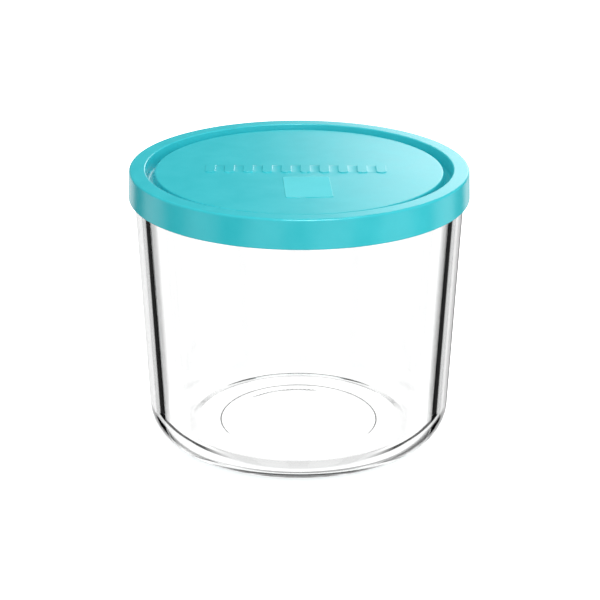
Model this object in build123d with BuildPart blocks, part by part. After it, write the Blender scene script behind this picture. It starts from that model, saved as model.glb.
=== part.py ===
"""Round glass food container with a soft plastic press-on lid.

Two pieces: a pressed-glass jar and a one-piece lid whose sealing groove plugs the jar's mouth.
Millimetres. Origin at the centre of the jar's foot, +Z up along the axis of revolution.
"""

import os

from build123d import *

# ---- Driving dimensions ---------------------------------------------------------------------
TOTAL_HEIGHT = 98.5  # table to the top of the closed lid
LID_DIAMETER = 119.0  # across the lower edge of the skirt
LID_THICKNESS = 1.1  # wall of the moulded lid
SEAT_GAP = 0.2  # between the glass rim and the underside of the lid

# ---- Jar ------------------------------------------------------------------------------------
RIM_Z = TOTAL_HEIGHT - LID_THICKNESS - SEAT_GAP
RIM_OUTER_R = 57.85
RIM_INNER_R = 54.5
RIM_EDGE = 1.45  # rounding of both edges of the rim
MOUTH_R = 54.35  # the mouth is wider than the wall below it, to take the lid's plug
MOUTH_Z = 90.6
MOUTH_SLOPE = 1.7  # height of the slope that leads in to the wall
MOUTH_EDGE = 1.0
WALL_TOP_R = 53.0  # inside of the thick wall, just below the mouth
FOOT_R = 53.5  # where the outer wall would meet the table
HEEL = 11.4  # large rounding between the wall and the foot ring
FLOOR_Z = 4.4  # inside floor
FLOOR_R = 48.9  # where the inner wall would meet the inside floor
FLOOR_CORNER = 8.5  # rounding between the inner wall and the floor

FOOT_RING_R = 40.0  # inner edge of the ring that stands on the table
FOOT_RAMP = 3.0  # width of the gentle slope from the ring up to the recessed underside
RAMP_EDGE = 8.0
RECESS = 0.9  # depth of the recessed underside
STEP_R = 28.3  # shallow step in the recessed underside
STEP = 0.4
STEP_EDGE = 0.3

BEAD_Z = 94.2  # low bead under the rim that the lid snaps over
BEAD_HEIGHT = 1.8
BEAD_OUT = 0.3
BEAD_EDGE = 0.8

DOT_RING_R = 24.4  # row of small mould dots on the underside, near the back
DOT_COUNT = 16
DOT_PITCH = 3.9  # degrees
DOT_TURN = 14.0  # degrees from the back of the jar to the middle of the row
DOT_R = 0.6
DOT_HEIGHT = 0.5

# ---- Lid ------------------------------------------------------------------------------------
SKIRT_HEIGHT = 10.2
SKIRT_TOP_R = 59.1  # the skirt narrows a little towards the top
SKIRT_WALL = 1.0
SKIRT_EDGE = 0.4  # rounding of the skirt's lower and inner edges
CROWN_EDGE = 0.8  # rounding where the skirt turns into the land
LAND_INNER_R = 53.5  # flat land between the skirt and the groove
LAND_EDGE = 0.5
GROOVE_FLOOR_Z = 93.5
GROOVE_OUTER_R = 52.9  # at the groove's floor
GROOVE_INNER_R = 50.4  # at the groove's floor
GROOVE_CORNER = 1.2
PANEL_R = 50.2
PANEL_DROP = 1.25  # the centre panel lies this far below the land
PANEL_EDGE = 0.5
PLUG_WALL = 1.0  # groove wall that faces the glass
PLUG_CORNER = 0.9
PLUG_ROOT = 0.3  # rounding where the plug meets the underside of the land

SNAP_Z = 90.6  # low ridge inside the skirt, below the jar's bead when closed
SNAP_HEIGHT = 1.4
SNAP_IN = 0.2
SNAP_EDGE = 0.3

PATCH_SIZE = (16.0, 23.0)  # blank write-on patch
PATCH_PLACE = (2.9, -20.7)
PATCH_TURN = 3.0  # degrees about the axis
PATCH_CORNER = 1.2
PATCH_HEIGHT = 0.15

GRIP_COUNT = 10  # row of plain raised bars across the panel
GRIP_PITCH = 6.6
GRIP_PLACE = (-1.2, 0)
GRIP_SIZE = (3.6, 9.0)
GRIP_CORNER = 1.4
GRIP_HEIGHT = 0.3

SKIRT_R = LID_DIAMETER / 2
SKIRT_Z = TOTAL_HEIGHT - SKIRT_HEIGHT
PANEL_Z = TOTAL_HEIGHT - PANEL_DROP
UNDER_LAND_Z = TOTAL_HEIGHT - LID_THICKNESS


def line_radius(z, start, end):
    """Radius at height z on the straight wall between two (radius, height) points."""
    share = (z - start[1]) / (end[1] - start[1])
    return start[0] + share * (end[0] - start[0])


def half_section(corners):
    """Half cross-section through (radius, height, rounding) corners, closed along the axis."""
    points = [(radius, height) for radius, height, _ in corners]
    roundings = [rounding for _, _, rounding in corners[1:-1]]
    with BuildSketch(Plane.XZ) as section:
        with BuildLine():
            FilletPolyline(*points, radius=roundings)
            Line(points[-1], points[0])
        make_face()
    return section.sketch


def bead(low_z, height, out, wall_start, wall_end, edge):
    """Three corners of a low bead standing out from a straight wall, from low to high."""
    middle_z = low_z + height / 2
    return [
        (line_radius(low_z, wall_start, wall_end), low_z, edge),
        (line_radius(middle_z, wall_start, wall_end) + out, middle_z, edge),
        (line_radius(low_z + height, wall_start, wall_end), low_z + height, edge),
    ]


# ---- Jar: one revolved section, with mould dots on its underside ------------------------------
outer_wall = ((FOOT_R, 0), (RIM_OUTER_R, RIM_Z))

jar_corners = [
    (0, RECESS, 0),
    (STEP_R, RECESS, STEP_EDGE),
    (STEP_R + STEP, RECESS - STEP, STEP_EDGE),
    (FOOT_RING_R - FOOT_RAMP, RECESS - STEP, RAMP_EDGE),
    (FOOT_RING_R, 0, RAMP_EDGE),
    (FOOT_R, 0, HEEL),
    *bead(BEAD_Z - BEAD_HEIGHT / 2, BEAD_HEIGHT, BEAD_OUT, *outer_wall, BEAD_EDGE),
    (RIM_OUTER_R, RIM_Z, RIM_EDGE),
    (RIM_INNER_R, RIM_Z, RIM_EDGE),
    (MOUTH_R, MOUTH_Z, MOUTH_EDGE),
    (WALL_TOP_R, MOUTH_Z - MOUTH_SLOPE, MOUTH_EDGE),
    (FLOOR_R, FLOOR_Z, FLOOR_CORNER),
    (0, FLOOR_Z, 0),
]

with BuildPart() as jar:
    revolve(half_section(jar_corners), axis=Axis.Z)
    first_dot = 90 + DOT_TURN - DOT_PITCH * (DOT_COUNT - 1) / 2
    with BuildSketch(Plane.XY.offset(RECESS)):
        with PolarLocations(DOT_RING_R, DOT_COUNT, first_dot, DOT_PITCH * DOT_COUNT):
            Circle(DOT_R)
    extrude(amount=-DOT_HEIGHT)

# ---- Lid: one revolved section, with raised marks on its centre panel --------------------------
skirt_inside = (
    (SKIRT_R - SKIRT_WALL, SKIRT_Z),
    (SKIRT_TOP_R - SKIRT_WALL, UNDER_LAND_Z),
)
plug_top_r = LAND_INNER_R + PLUG_WALL - LAND_EDGE / 2
plug_tip_r = GROOVE_OUTER_R + PLUG_WALL
plug_tip_z = GROOVE_FLOOR_Z - LID_THICKNESS
panel_under_r = GROOVE_INNER_R - LID_THICKNESS

lid_corners = [
    (0, PANEL_Z, 0),
    (PANEL_R, PANEL_Z, PANEL_EDGE),
    (GROOVE_INNER_R, GROOVE_FLOOR_Z, GROOVE_CORNER),
    (GROOVE_OUTER_R, GROOVE_FLOOR_Z, GROOVE_CORNER),
    (LAND_INNER_R, TOTAL_HEIGHT, LAND_EDGE),
    (SKIRT_TOP_R, TOTAL_HEIGHT, CROWN_EDGE),
    (SKIRT_R, SKIRT_Z, SKIRT_EDGE),
    (SKIRT_R - SKIRT_WALL, SKIRT_Z, SKIRT_EDGE),
    *bead(SNAP_Z - SNAP_HEIGHT / 2, SNAP_HEIGHT, -SNAP_IN, *skirt_inside, SNAP_EDGE),
    (SKIRT_TOP_R - SKIRT_WALL, UNDER_LAND_Z, SKIRT_EDGE),
    (plug_top_r, UNDER_LAND_Z, PLUG_ROOT),
    (plug_tip_r, plug_tip_z, PLUG_CORNER),
    (panel_under_r, plug_tip_z, PLUG_CORNER),
    (PANEL_R - LID_THICKNESS, PANEL_Z - LID_THICKNESS, PANEL_EDGE),
    (0, PANEL_Z - LID_THICKNESS, 0),
]

with BuildPart() as lid:
    revolve(half_section(lid_corners), axis=Axis.Z)
    with BuildSketch(Plane.XY.offset(PANEL_Z)):
        with Locations(GRIP_PLACE):
            with GridLocations(GRIP_PITCH, 0, GRIP_COUNT, 1):
                RectangleRounded(*GRIP_SIZE, GRIP_CORNER)
    extrude(amount=GRIP_HEIGHT)
    with BuildSketch(Plane.XY.offset(PANEL_Z)):
        with Locations(PATCH_PLACE):
            RectangleRounded(*PATCH_SIZE, PATCH_CORNER, rotation=PATCH_TURN)
    extrude(amount=PATCH_HEIGHT)

# ---- Output -----------------------------------------------------------------------------------
jar.part.label = "jar"
lid.part.label = "lid"

os.makedirs("parts", exist_ok=True)
export_step(jar.part, "parts/jar.step")
export_step(lid.part, "parts/lid.step")
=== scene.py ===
"""Round glass food container with a turquoise press-on lid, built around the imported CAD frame.

The jar and the lid are turned meshes: each is a half outline of (radius, height, rounding) corners,
spun about the axis, with a flat disc that carries raised marks closing one face. Metres, +Z up.
"""

import math

import bmesh
import bpy
from mathutils import Matrix, Vector


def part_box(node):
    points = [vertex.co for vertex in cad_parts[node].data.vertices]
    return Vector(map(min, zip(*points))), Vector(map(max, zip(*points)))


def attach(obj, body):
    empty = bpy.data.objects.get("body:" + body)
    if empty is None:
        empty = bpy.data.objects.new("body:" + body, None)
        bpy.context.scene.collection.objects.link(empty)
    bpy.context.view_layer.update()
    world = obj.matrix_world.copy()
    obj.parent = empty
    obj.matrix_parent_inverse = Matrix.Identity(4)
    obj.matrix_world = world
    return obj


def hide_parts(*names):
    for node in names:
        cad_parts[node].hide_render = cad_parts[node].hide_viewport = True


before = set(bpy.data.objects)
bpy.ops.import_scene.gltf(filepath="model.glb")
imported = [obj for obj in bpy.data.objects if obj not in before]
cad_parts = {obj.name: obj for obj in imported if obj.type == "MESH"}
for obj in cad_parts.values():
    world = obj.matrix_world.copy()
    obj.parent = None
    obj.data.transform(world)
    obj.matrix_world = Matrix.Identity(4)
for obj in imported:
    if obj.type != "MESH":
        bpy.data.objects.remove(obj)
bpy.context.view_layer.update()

MM = 0.001
SEGMENTS = 384  # round the axis
ARC_STEP = math.radians(9)  # longest stretch of a rounding between two rings
CORNER_STEPS = 6  # stretches in each round corner of a rectangular mark
DOT_POINTS = 16  # points round a mould dot
SHOULDER_ANGLES = (0, 15, 35, 55, 75, 90)  # degrees, rings up the rounded shoulder of a raised mark

# ---- Heights that come from the frame ---------------------------------------------------------
_, jar_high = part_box("jar")
lid_low, lid_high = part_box("lid")
RIM_Z = jar_high.z
LID_TOP_Z = lid_high.z
SKIRT_Z = lid_low.z

# ---- Jar: radii, heights and roundings ----------------------------------------------------------
RIM_OUTER_R = 57.85 * MM
RIM_INNER_R = 54.5 * MM
RIM_EDGE = 1.45 * MM
MOUTH_R = 54.35 * MM  # the mouth is wider than the wall below it, to take the lid's plug
MOUTH_Z = 90.6 * MM
MOUTH_SLOPE = 1.7 * MM
MOUTH_EDGE = 1.0 * MM
WALL_TOP_R = 53.0 * MM
FOOT_R = 53.5 * MM
HEEL = 11.4 * MM
FLOOR_Z = 4.4 * MM
FLOOR_R = 48.9 * MM
FLOOR_CORNER = 8.5 * MM
FOOT_RING_R = 40.0 * MM  # inner edge of the ring that stands on the table
FOOT_RAMP = 3.0 * MM  # width of the gentle slope from that ring up to the recess
RECESS = 0.9 * MM
RAMP_EDGE = 8.0 * MM
STEP_R = 28.3 * MM
STEP = 0.4 * MM
STEP_EDGE = 0.3 * MM
BEAD_Z = 94.2 * MM
BEAD_HEIGHT = 1.8 * MM
BEAD_OUT = 0.3 * MM
BEAD_EDGE = 0.8 * MM

DOT_RING_R = 24.4 * MM
DOT_COUNT = 16
DOT_PITCH = math.radians(3.9)
DOT_TURN = math.radians(14)
DOT_R = 0.6 * MM
DOT_HEIGHT = 0.5 * MM

# ---- Lid ------------------------------------------------------------------------------------
LID_THICKNESS = 1.1 * MM
SKIRT_R = 59.5 * MM
SKIRT_TOP_R = 59.1 * MM
SKIRT_WALL = 1.0 * MM
SKIRT_EDGE = 0.4 * MM
CROWN_EDGE = 0.8 * MM
LAND_INNER_R = 53.5 * MM
LAND_EDGE = 0.5 * MM
GROOVE_FLOOR_Z = LID_TOP_Z - 5.0 * MM
GROOVE_OUTER_R = 52.9 * MM
GROOVE_INNER_R = 50.4 * MM
GROOVE_CORNER = 1.2 * MM
PANEL_R = 50.2 * MM
PANEL_Z = LID_TOP_Z - 1.25 * MM
PANEL_EDGE = 0.5 * MM
PLUG_WALL = 1.0 * MM
PLUG_CORNER = 0.9 * MM
PLUG_ROOT = 0.3 * MM
SNAP_Z = 90.6 * MM
SNAP_HEIGHT = 1.4 * MM
SNAP_IN = 0.2 * MM
SNAP_EDGE = 0.3 * MM

PATCH_SIZE = (16.0 * MM, 23.0 * MM)
PATCH_PLACE = (2.9 * MM, -20.7 * MM)
PATCH_TURN = math.radians(3.0)
PATCH_CORNER = 1.2 * MM
PATCH_HEIGHT = 0.15 * MM

GRIP_COUNT = 10
GRIP_PITCH = 6.6 * MM
GRIP_PLACE_X = -1.2 * MM
GRIP_SIZE = (3.6 * MM, 9.0 * MM)
GRIP_CORNER = 1.4 * MM
GRIP_HEIGHT = 0.3 * MM


# ---- Outlines and turned meshes -----------------------------------------------------------------
def wall_radius(z, start, end):
    """Radius at height z on the straight wall between two (radius, height) points."""
    share = (z - start[1]) / (end[1] - start[1])
    return start[0] + share * (end[0] - start[0])


def bead(middle_z, height, out, wall, edge):
    """Three corners of a low bead on a straight wall, in the order of the wall's own two points."""
    half = math.copysign(height / 2, wall[1][1] - wall[0][1])
    return [
        (wall_radius(middle_z - half, *wall), middle_z - half, edge),
        (wall_radius(middle_z, *wall) + out, middle_z, edge),
        (wall_radius(middle_z + half, *wall), middle_z + half, edge),
    ]


def rounded(corners):
    """Outline points through (x, y, rounding) corners, each rounding drawn as an arc."""
    points = []
    for index, (x, y, rounding) in enumerate(corners):
        here = Vector((x, y))
        if rounding == 0 or index in (0, len(corners) - 1):
            points.append(here)
            continue
        to_last = (Vector(corners[index - 1][:2]) - here).normalized()
        to_next = (Vector(corners[index + 1][:2]) - here).normalized()
        half_angle = to_last.angle(to_next) / 2
        centre = here + (to_last + to_next).normalized() * (rounding / math.sin(half_angle))
        start = here + to_last * (rounding / math.tan(half_angle)) - centre
        turn = start.angle_signed(here + to_next * (rounding / math.tan(half_angle)) - centre)
        steps = max(2, math.ceil(abs(turn) / ARC_STEP))
        points += [centre + Matrix.Rotation(-turn * i / steps, 2) @ start for i in range(steps + 1)]
    return points


def spin(bm, outline):
    """Turns an outline about the axis; a point on the axis becomes a pole. Returns the rings."""
    angles = [2 * math.pi * i / SEGMENTS for i in range(SEGMENTS)]
    rings = []
    for r, z in outline:
        turns = angles if r > 0 else angles[:1]
        rings.append([bm.verts.new((r * math.cos(a), r * math.sin(a), z)) for a in turns])
    for low, high in zip(rings, rings[1:]):
        for i in range(SEGMENTS):
            j = (i + 1) % SEGMENTS
            corners = [low[i % len(low)], low[j % len(low)], high[j % len(high)], high[i % len(high)]]
            bm.faces.new(dict.fromkeys(corners))
    return rings


def rounded_rectangle(size, corner, place=(0, 0), turn=0.0):
    """Closed outline of a rectangle with round corners, as points counter-clockwise."""
    half_x, half_y = size[0] / 2 - corner, size[1] / 2 - corner
    points = []
    for quarter, (sx, sy) in enumerate(((1, 1), (-1, 1), (-1, -1), (1, -1))):
        middle = Vector((sx * half_x, sy * half_y))
        for step in range(CORNER_STEPS + 1):
            angle = math.pi / 2 * (quarter + step / CORNER_STEPS)
            points.append(middle + corner * Vector((math.cos(angle), math.sin(angle))))
    return [Matrix.Rotation(turn, 2) @ p + Vector(place) for p in points]


def raised_mark(bm, outline, base_z, height, edge):
    """A raised mark on a flat disc, with a rounded shoulder. Returns its foot loop and flat top."""
    centre = sum(outline, Vector((0, 0))) / len(outline)
    direction = math.copysign(1, height)
    loops = []
    for angle in SHOULDER_ANGLES:
        inset = edge * (1 - math.cos(math.radians(angle)))
        upright = (abs(height) - edge) * min(1, angle / SHOULDER_ANGLES[1])
        rise = upright + edge * math.sin(math.radians(angle))
        loop = []
        for index, point in enumerate(outline):
            side = outline[(index + 1) % len(outline)] - outline[index - 1]
            inward = Vector((-side.y, side.x)).normalized()
            if inward.dot(centre - point) < 0:
                inward.negate()
            place = point + inward * inset
            loop.append(bm.verts.new((place.x, place.y, base_z + direction * rise)))
        loops.append(loop)
    for low, high in zip(loops, loops[1:]):
        for i in range(len(low)):
            j = (i + 1) % len(low)
            bm.faces.new((low[i], low[j], high[j], high[i]))
    top = bm.faces.new(loops[-1])
    return loops[0], top


def loop_edges(bm, loop):
    """The closed run of edges through a loop of vertices, made where it isn't there yet."""
    pairs = zip(loop, loop[1:] + loop[:1])
    return [bm.edges.get(pair) or bm.edges.new(pair) for pair in pairs]


def close_disc(bm, ring, foot_loops):
    """Fills the flat disc inside a ring, round the feet of its raised marks."""
    edges = loop_edges(bm, ring)
    for loop in foot_loops:
        edges += loop_edges(bm, loop)
    bmesh.ops.triangle_fill(bm, use_beauty=True, use_dissolve=False, edges=edges)


def finished_object(name, bm, body, node, materials):
    """A smooth object from a closed mesh, riding on its body in place of a CAD node."""
    bmesh.ops.recalc_face_normals(bm, faces=bm.faces)
    mesh = bpy.data.meshes.new(name)
    bm.to_mesh(mesh)
    bm.free()
    mesh.shade_smooth()
    for material in materials:
        mesh.materials.append(material)
    piece = bpy.data.objects.new(name, mesh)
    bpy.context.scene.collection.objects.link(piece)
    weighted = piece.modifiers.new("flat_faces_lead", "WEIGHTED_NORMAL")
    weighted.weight = 100
    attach(piece, body)
    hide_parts(node)
    return piece


# ---- The two pieces -------------------------------------------------------------------------------
def jar_outline():
    """From the edge of the underside's flat disc, out over the foot, up, and down the inside."""
    wall = ((FOOT_R, 0), (RIM_OUTER_R, RIM_Z))
    return rounded([
        (STEP_R - 2 * STEP_EDGE, RECESS, 0),
        (STEP_R, RECESS, STEP_EDGE),
        (STEP_R + STEP, RECESS - STEP, STEP_EDGE),
        (FOOT_RING_R - FOOT_RAMP, RECESS - STEP, RAMP_EDGE),
        (FOOT_RING_R, 0, RAMP_EDGE),
        (FOOT_R, 0, HEEL),
        *bead(BEAD_Z, BEAD_HEIGHT, BEAD_OUT, wall, BEAD_EDGE),
        (RIM_OUTER_R, RIM_Z, RIM_EDGE),
        (RIM_INNER_R, RIM_Z, RIM_EDGE),
        (MOUTH_R, MOUTH_Z, MOUTH_EDGE),
        (WALL_TOP_R, MOUTH_Z - MOUTH_SLOPE, MOUTH_EDGE),
        (FLOOR_R, FLOOR_Z, FLOOR_CORNER),
        (0, FLOOR_Z, 0),
    ])


def make_jar(materials):
    """The pressed-glass jar, with a row of small mould dots on its underside."""
    bm = bmesh.new()
    rings = spin(bm, jar_outline())
    feet = []
    for index in range(DOT_COUNT):
        angle = math.pi / 2 + DOT_TURN + DOT_PITCH * (index - (DOT_COUNT - 1) / 2)
        place = Vector((math.cos(angle), math.sin(angle))) * DOT_RING_R
        circle = [place + DOT_R * Vector((math.cos(a), math.sin(a)))
                  for a in (2 * math.pi * i / DOT_POINTS for i in range(DOT_POINTS))]
        foot, _ = raised_mark(bm, circle, RECESS, -DOT_HEIGHT, DOT_HEIGHT * 0.8)
        feet.append(foot)
    close_disc(bm, rings[0], feet)
    return finished_object("glass_jar", bm, "jar_body", "jar", materials)


def lid_outline():
    """From the axis under the panel, out round the plug and skirt, and back over the land and groove."""
    under_land_z = LID_TOP_Z - LID_THICKNESS
    plug_tip_z = GROOVE_FLOOR_Z - LID_THICKNESS
    skirt_inside = ((SKIRT_TOP_R - SKIRT_WALL, under_land_z), (SKIRT_R - SKIRT_WALL, SKIRT_Z))
    return rounded([
        (0, PANEL_Z - LID_THICKNESS, 0),
        (PANEL_R - LID_THICKNESS, PANEL_Z - LID_THICKNESS, PANEL_EDGE),
        (GROOVE_INNER_R - LID_THICKNESS, plug_tip_z, PLUG_CORNER),
        (GROOVE_OUTER_R + PLUG_WALL, plug_tip_z, PLUG_CORNER),
        (LAND_INNER_R + PLUG_WALL - LAND_EDGE / 2, under_land_z, PLUG_ROOT),
        (SKIRT_TOP_R - SKIRT_WALL, under_land_z, SKIRT_EDGE),
        *bead(SNAP_Z, SNAP_HEIGHT, -SNAP_IN, skirt_inside, SNAP_EDGE),
        (SKIRT_R - SKIRT_WALL, SKIRT_Z, SKIRT_EDGE),
        (SKIRT_R, SKIRT_Z, SKIRT_EDGE),
        (SKIRT_TOP_R, LID_TOP_Z, CROWN_EDGE),
        (LAND_INNER_R, LID_TOP_Z, LAND_EDGE),
        (GROOVE_OUTER_R, GROOVE_FLOOR_Z, GROOVE_CORNER),
        (GROOVE_INNER_R, GROOVE_FLOOR_Z, GROOVE_CORNER),
        (PANEL_R, PANEL_Z, PANEL_EDGE),
        (PANEL_R - 2 * PANEL_EDGE, PANEL_Z, 0),
    ])


def make_lid(materials):
    """The moulded lid, with plain raised bars and a blank write-on patch on its panel."""
    bm = bmesh.new()
    rings = spin(bm, lid_outline())
    feet = []
    for index in range(GRIP_COUNT):
        place = (GRIP_PLACE_X + GRIP_PITCH * (index - (GRIP_COUNT - 1) / 2), 0)
        bar = rounded_rectangle(GRIP_SIZE, GRIP_CORNER, place)
        foot, _ = raised_mark(bm, bar, PANEL_Z, GRIP_HEIGHT, GRIP_HEIGHT * 0.7)
        feet.append(foot)
    patch = rounded_rectangle(PATCH_SIZE, PATCH_CORNER, PATCH_PLACE, PATCH_TURN)
    foot, patch_top = raised_mark(bm, patch, PANEL_Z, PATCH_HEIGHT, PATCH_HEIGHT * 0.6)
    patch_top.material_index = 1
    feet.append(foot)
    close_disc(bm, rings[-1], feet)
    return finished_object("press_on_lid", bm, "lid_body", "lid", materials)


# ---- Materials ------------------------------------------------------------------------------------
def new_material(name):
    """A material with an empty node tree but its output. Returns it with its nodes and links."""
    material = bpy.data.materials.new(name)
    material.use_nodes = True
    tree = material.node_tree
    tree.nodes.clear()
    output = tree.nodes.new("ShaderNodeOutputMaterial")
    return material, tree.nodes, tree.links, output


def noise(nodes, links, scale, detail, roughness=0.5):
    """Noise in object coordinates; scale is in cells per metre."""
    place = nodes.new("ShaderNodeTexCoord")
    texture = nodes.new("ShaderNodeTexNoise")
    texture.inputs["Scale"].default_value = scale
    texture.inputs["Detail"].default_value = detail
    texture.inputs["Roughness"].default_value = roughness
    links.new(place.outputs["Object"], texture.inputs["Vector"])
    return texture


def bump(nodes, links, height, strength, distance):
    """A bump node over a height output."""
    node = nodes.new("ShaderNodeBump")
    node.inputs["Strength"].default_value = strength
    node.inputs["Distance"].default_value = distance
    links.new(height, node.inputs["Height"])
    return node


def maths(nodes, links, operation, *values):
    """The result of a maths node on outputs or plain numbers."""
    node = nodes.new("ShaderNodeMath")
    node.operation = operation
    for socket, value in zip(node.inputs, values):
        if isinstance(value, (int, float)):
            socket.default_value = value
        else:
            links.new(value, socket)
    return node.outputs["Value"]


def ramp(nodes, links, factor, low, high):
    """A colour ramp between two colours."""
    node = nodes.new("ShaderNodeValToRGB")
    node.color_ramp.elements[0].position = 0.3
    node.color_ramp.elements[1].position = 0.7
    node.color_ramp.elements[0].color = (*low, 1)
    node.color_ramp.elements[1].color = (*high, 1)
    links.new(factor, node.inputs["Fac"])
    return node


def glass_material():
    """Clear pressed soda-lime glass: faint long ripples from the mould and a trace of green."""
    material, nodes, links, output = new_material("clear_pressed_glass")
    shader = nodes.new("ShaderNodeBsdfPrincipled")
    shader.inputs["Base Color"].default_value = (1, 1, 1, 1)
    shader.inputs["Transmission Weight"].default_value = 1.0
    shader.inputs["Roughness"].default_value = 0.0
    shader.inputs["IOR"].default_value = 1.52
    ripples = noise(nodes, links, scale=45, detail=1.0)
    relief = bump(nodes, links, ripples.outputs["Fac"], strength=0.1, distance=0.05 * MM)
    links.new(relief.outputs["Normal"], shader.inputs["Normal"])
    volume = nodes.new("ShaderNodeVolumeAbsorption")
    volume.inputs["Color"].default_value = (0.90, 0.97, 0.95, 1)
    volume.inputs["Density"].default_value = 6.0
    links.new(shader.outputs["BSDF"], output.inputs["Surface"])
    links.new(volume.outputs["Volume"], output.inputs["Volume"])
    return material


def plastic_material(name, low, high, roughness_low, roughness_high, grain, grain_depth):
    """Soft moulded polyethylene: slightly uneven colour and gloss over a fine moulded grain."""
    material, nodes, links, output = new_material(name)
    shader = nodes.new("ShaderNodeBsdfPrincipled")
    mottle = noise(nodes, links, scale=120, detail=3.0)
    colour = ramp(nodes, links, mottle.outputs["Fac"], low, high)
    links.new(colour.outputs["Color"], shader.inputs["Base Color"])
    gloss = nodes.new("ShaderNodeMapRange")
    gloss.inputs["To Min"].default_value = roughness_low
    gloss.inputs["To Max"].default_value = roughness_high
    links.new(mottle.outputs["Fac"], gloss.inputs["Value"])
    links.new(gloss.outputs["Result"], shader.inputs["Roughness"])
    fine = noise(nodes, links, scale=grain, detail=2.0)
    relief = bump(nodes, links, fine.outputs["Fac"], strength=0.3, distance=grain_depth)
    links.new(relief.outputs["Normal"], shader.inputs["Normal"])
    shader.inputs["IOR"].default_value = 1.51
    links.new(shader.outputs["BSDF"], output.inputs["Surface"])
    return material


glass = glass_material()
satin_teal = plastic_material(
    "satin_teal", (0.030, 0.530, 0.600), (0.038, 0.560, 0.630), 0.20, 0.28, 1800, 0.02 * MM)
# the write-on patch: the lid's teal lifted lighter as a painted sheen of its frosted face, and rougher
# with a coarser grain
frosted_teal_painted_sheen = plastic_material(
    "frosted_teal_painted_sheen", (0.07, 0.59, 0.65), (0.09, 0.62, 0.68), 0.6, 0.75, 3500, 0.06 * MM)

make_jar([glass])
make_lid([satin_teal, frosted_teal_painted_sheen])


# ---- Stage: floor, surround and camera --------------------------------------------------------------
# Azimuths are in degrees, 0 away from the main camera and + to its right; elevations are + upwards.
# An upward part is the Z of a direction one unit long.

# white screens round the object, with black gaps between them, as light that has been reflected in
# the glass meets them: degrees from the middle of a gap, and brightness there
GAP_PITCH = 45.0
GAP_PROFILE = [(0.0, 0.002), (8.1, 0.005), (9.9, 0.7), (13.5, 0.95), (22.5, 1.0)]
GAP_TOP = -0.15  # upward part above which the gaps in front and at the sides are closed
SCREEN_STRENGTH = 1.2
LOW_GREY = 0.82  # what the heel mirrors from the table close by
LOW_FROM, LOW_TO = -0.78, -0.88  # upward parts between which that takes over from the screens
# a soft dark patch behind the jar, mirrored at its edges: azimuth, elevation, radius, edge, depth
EDGE_SHADE = (7, -20, 5, 10, 0.75)
BEHIND_STRENGTH = 1.2  # what is seen straight through the glass
REPEAT_FADE = 0.12  # what is left of light that was reflected twice or more in the side walls
REPEAT_LEVEL, REPEAT_REACH = -0.34, 0.19  # upward parts where that happens: middle and half width

# what the lid reflects from above: soft round lights as (azimuth, elevation, radius, edge, strength)
REFLECTED_LIGHTS = [
    (165, 60, 10, 8, 14.0),
    (14, 12, 6, 10, 3.0),
]
REFLECTED_GREY = 0.10

# light on matt surfaces: an even part, and two wide soft lights in the same form
SKY_LIGHT = 0.32
KEY_LIGHT = (140, 15, 0, 110, 0.75)
TOP_LIGHT = (0, 90, 0, 110, 0.75)

FLOOR_HALF = 6.0
FLOOR_WHITE = 0.95
FLOOR_GLOW = 0.6


def make_floor():
    """A wide white floor with a little glow of its own, hidden from glass, gloss and matt light."""
    corners = [(x * FLOOR_HALF, y * FLOOR_HALF, 0) for x, y in ((-1, -1), (1, -1), (1, 1), (-1, 1))]
    mesh = bpy.data.meshes.new("floor")
    mesh.from_pydata(corners, [], [(0, 1, 2, 3)])
    floor = bpy.data.objects.new("floor", mesh)
    bpy.context.scene.collection.objects.link(floor)
    material, nodes, links, output = new_material("pale_floor")
    shader = nodes.new("ShaderNodeBsdfDiffuse")
    shader.inputs["Color"].default_value = (FLOOR_WHITE, FLOOR_WHITE, FLOOR_WHITE, 1)
    glow = nodes.new("ShaderNodeEmission")
    glow.inputs["Strength"].default_value = FLOOR_GLOW
    both = nodes.new("ShaderNodeAddShader")
    links.new(shader.outputs["BSDF"], both.inputs[0])
    links.new(glow.outputs["Emission"], both.inputs[1])
    links.new(both.outputs["Shader"], output.inputs["Surface"])
    mesh.materials.append(material)
    floor.visible_transmission = False
    floor.visible_glossy = False
    floor.visible_diffuse = False


def screens(nodes, links, azimuth, rise):
    """Brightness of the ring of white screens, with no gap straight behind the object.

    The gaps on the camera's side and at 90 degrees to it are closed above GAP_TOP.
    """
    pitch = math.radians(GAP_PITCH)
    positive = maths(nodes, links, "ADD", azimuth, pitch * 8)
    folded = maths(nodes, links, "PINGPONG", positive, pitch / 2)
    profile = nodes.new("ShaderNodeValToRGB")
    stops = profile.color_ramp.elements
    for _ in GAP_PROFILE[1:-1]:
        stops.new(0.5)
    for stop, (place, value) in zip(stops, GAP_PROFILE):
        stop.position = place / GAP_PITCH * 2
        stop.color = (value, value, value, 1)
    links.new(maths(nodes, links, "DIVIDE", folded, pitch / 2), profile.inputs["Fac"])
    behind = maths(nodes, links, "LESS_THAN", maths(nodes, links, "ABSOLUTE", azimuth), pitch / 2)
    quarter = maths(nodes, links, "PINGPONG", positive, pitch)
    second = maths(nodes, links, "LESS_THAN", quarter, pitch / 2)
    closed = maths(nodes, links, "MULTIPLY", second, maths(nodes, links, "GREATER_THAN", rise, GAP_TOP))
    white = maths(nodes, links, "MAXIMUM", profile.outputs["Color"], behind)
    white = maths(nodes, links, "MAXIMUM", white, closed)
    return maths(nodes, links, "MULTIPLY", white, SCREEN_STRENGTH)


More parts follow.
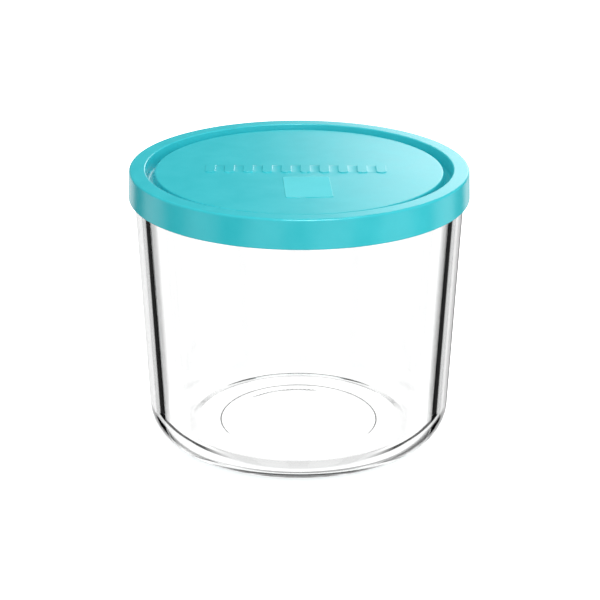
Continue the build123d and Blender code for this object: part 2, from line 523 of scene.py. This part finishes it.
def soft_light(nodes, links, direction, azimuth, elevation, radius, edge, strength):
    """Brightness of one round light in the surround, fading out over its edge."""
    azimuth, elevation = math.radians(azimuth), math.radians(elevation)
    aim = nodes.new("ShaderNodeVectorMath")
    aim.operation = "DOT_PRODUCT"
    aim.inputs[1].default_value = (
        math.sin(azimuth) * math.cos(elevation),
        math.cos(azimuth) * math.cos(elevation),
        math.sin(elevation),
    )
    links.new(direction, aim.inputs[0])
    fade = nodes.new("ShaderNodeMapRange")
    fade.interpolation_type = "SMOOTHSTEP"
    fade.inputs["From Min"].default_value = math.cos(math.radians(radius + edge))
    fade.inputs["From Max"].default_value = math.cos(math.radians(radius))
    fade.inputs["To Max"].default_value = strength
    links.new(aim.outputs["Value"], fade.inputs["Value"])
    return fade.outputs["Result"]


def choose(nodes, links, factor, if_zero, if_one):
    """A value between two, by a factor from 0 to 1."""
    node = nodes.new("ShaderNodeMix")
    sockets = (node.inputs[0], node.inputs[2], node.inputs[3])
    for socket, value in zip(sockets, (factor, if_zero, if_one)):
        if isinstance(value, (int, float)):
            socket.default_value = value
        else:
            links.new(value, socket)
    return node.outputs[0]


def make_world():
    """A bright field for glass, with a brightness of its own for each kind of ray.

    Plain white for the camera and straight through the glass, the screens for light mirrored in the
    glass, screens and lights for what a surface reflects, and soft lights for the rest.
    """
    world = bpy.data.worlds.new("studio")
    bpy.context.scene.world = world
    world.use_nodes = True
    nodes, links = world.node_tree.nodes, world.node_tree.links
    nodes.clear()
    direction = nodes.new("ShaderNodeTexCoord").outputs["Generated"]
    split = nodes.new("ShaderNodeSeparateXYZ")
    links.new(direction, split.inputs[0])
    rays = nodes.new("ShaderNodeLightPath").outputs
    azimuth = maths(nodes, links, "ARCTAN2", split.outputs["X"], split.outputs["Y"])

    ring = screens(nodes, links, azimuth, split.outputs["Z"])
    shade = soft_light(nodes, links, direction, *EDGE_SHADE)
    ring = maths(nodes, links, "MULTIPLY", ring, maths(nodes, links, "SUBTRACT", 1.0, shade))
    low = nodes.new("ShaderNodeMapRange")
    low.inputs["From Min"].default_value = LOW_FROM
    low.inputs["From Max"].default_value = LOW_TO
    links.new(split.outputs["Z"], low.inputs["Value"])
    ring = choose(nodes, links, low.outputs["Result"], ring, LOW_GREY)

    lights = REFLECTED_GREY
    for light in REFLECTED_LIGHTS:
        lights = maths(nodes, links, "ADD", soft_light(nodes, links, direction, *light), lights)
    upward = maths(nodes, links, "GREATER_THAN", split.outputs["Z"], 0.0)
    reflected = choose(nodes, links, upward, ring, lights)

    mirrored = maths(nodes, links, "GREATER_THAN", rays["Glossy Depth"], 0.5)
    repeated = maths(nodes, links, "GREATER_THAN", rays["Glossy Depth"], 1.5)
    level = maths(nodes, links, "COMPARE", split.outputs["Z"], REPEAT_LEVEL, REPEAT_REACH)
    repeated = maths(nodes, links, "MULTIPLY", repeated, level)
    faded = maths(nodes, links, "MULTIPLY", ring, REPEAT_FADE)
    through = choose(nodes, links, mirrored, BEHIND_STRENGTH, ring)
    through = choose(nodes, links, repeated, through, faded)

    key = soft_light(nodes, links, direction, *KEY_LIGHT)
    top = soft_light(nodes, links, direction, *TOP_LIGHT)
    light = maths(nodes, links, "ADD", maths(nodes, links, "ADD", key, top), SKY_LIGHT)
    light = choose(nodes, links, rays["Is Glossy Ray"], light, reflected)
    light = choose(nodes, links, rays["Is Transmission Ray"], light, through)
    light = choose(nodes, links, rays["Is Camera Ray"], light, 1.0)

    surround = nodes.new("ShaderNodeBackground")
    links.new(light, surround.inputs["Color"])
    output = nodes.new("ShaderNodeOutputWorld")
    links.new(surround.outputs["Background"], output.inputs["Surface"])


def make_camera():
    """The camera stands 0.6 m in front of the axis and looks down at the middle of the object."""
    data = bpy.data.cameras.new("camera")
    data.sensor_width = 36.0
    data.lens = 107.8
    camera = bpy.data.objects.new("camera", data)
    bpy.context.scene.collection.objects.link(camera)
    camera.location = (0.0004, -0.600, 0.281)
    pitch, roll = math.radians(21.2), 0.003
    camera.matrix_world = (
        Matrix.Translation(camera.location)
        @ Matrix.Rotation(math.pi / 2 - pitch, 4, "X")
        @ Matrix.Rotation(roll, 4, "Z")
    )
    bpy.context.scene.camera = camera


make_floor()
make_world()
make_camera()
bpy.context.scene.view_settings.view_transform = "Standard"
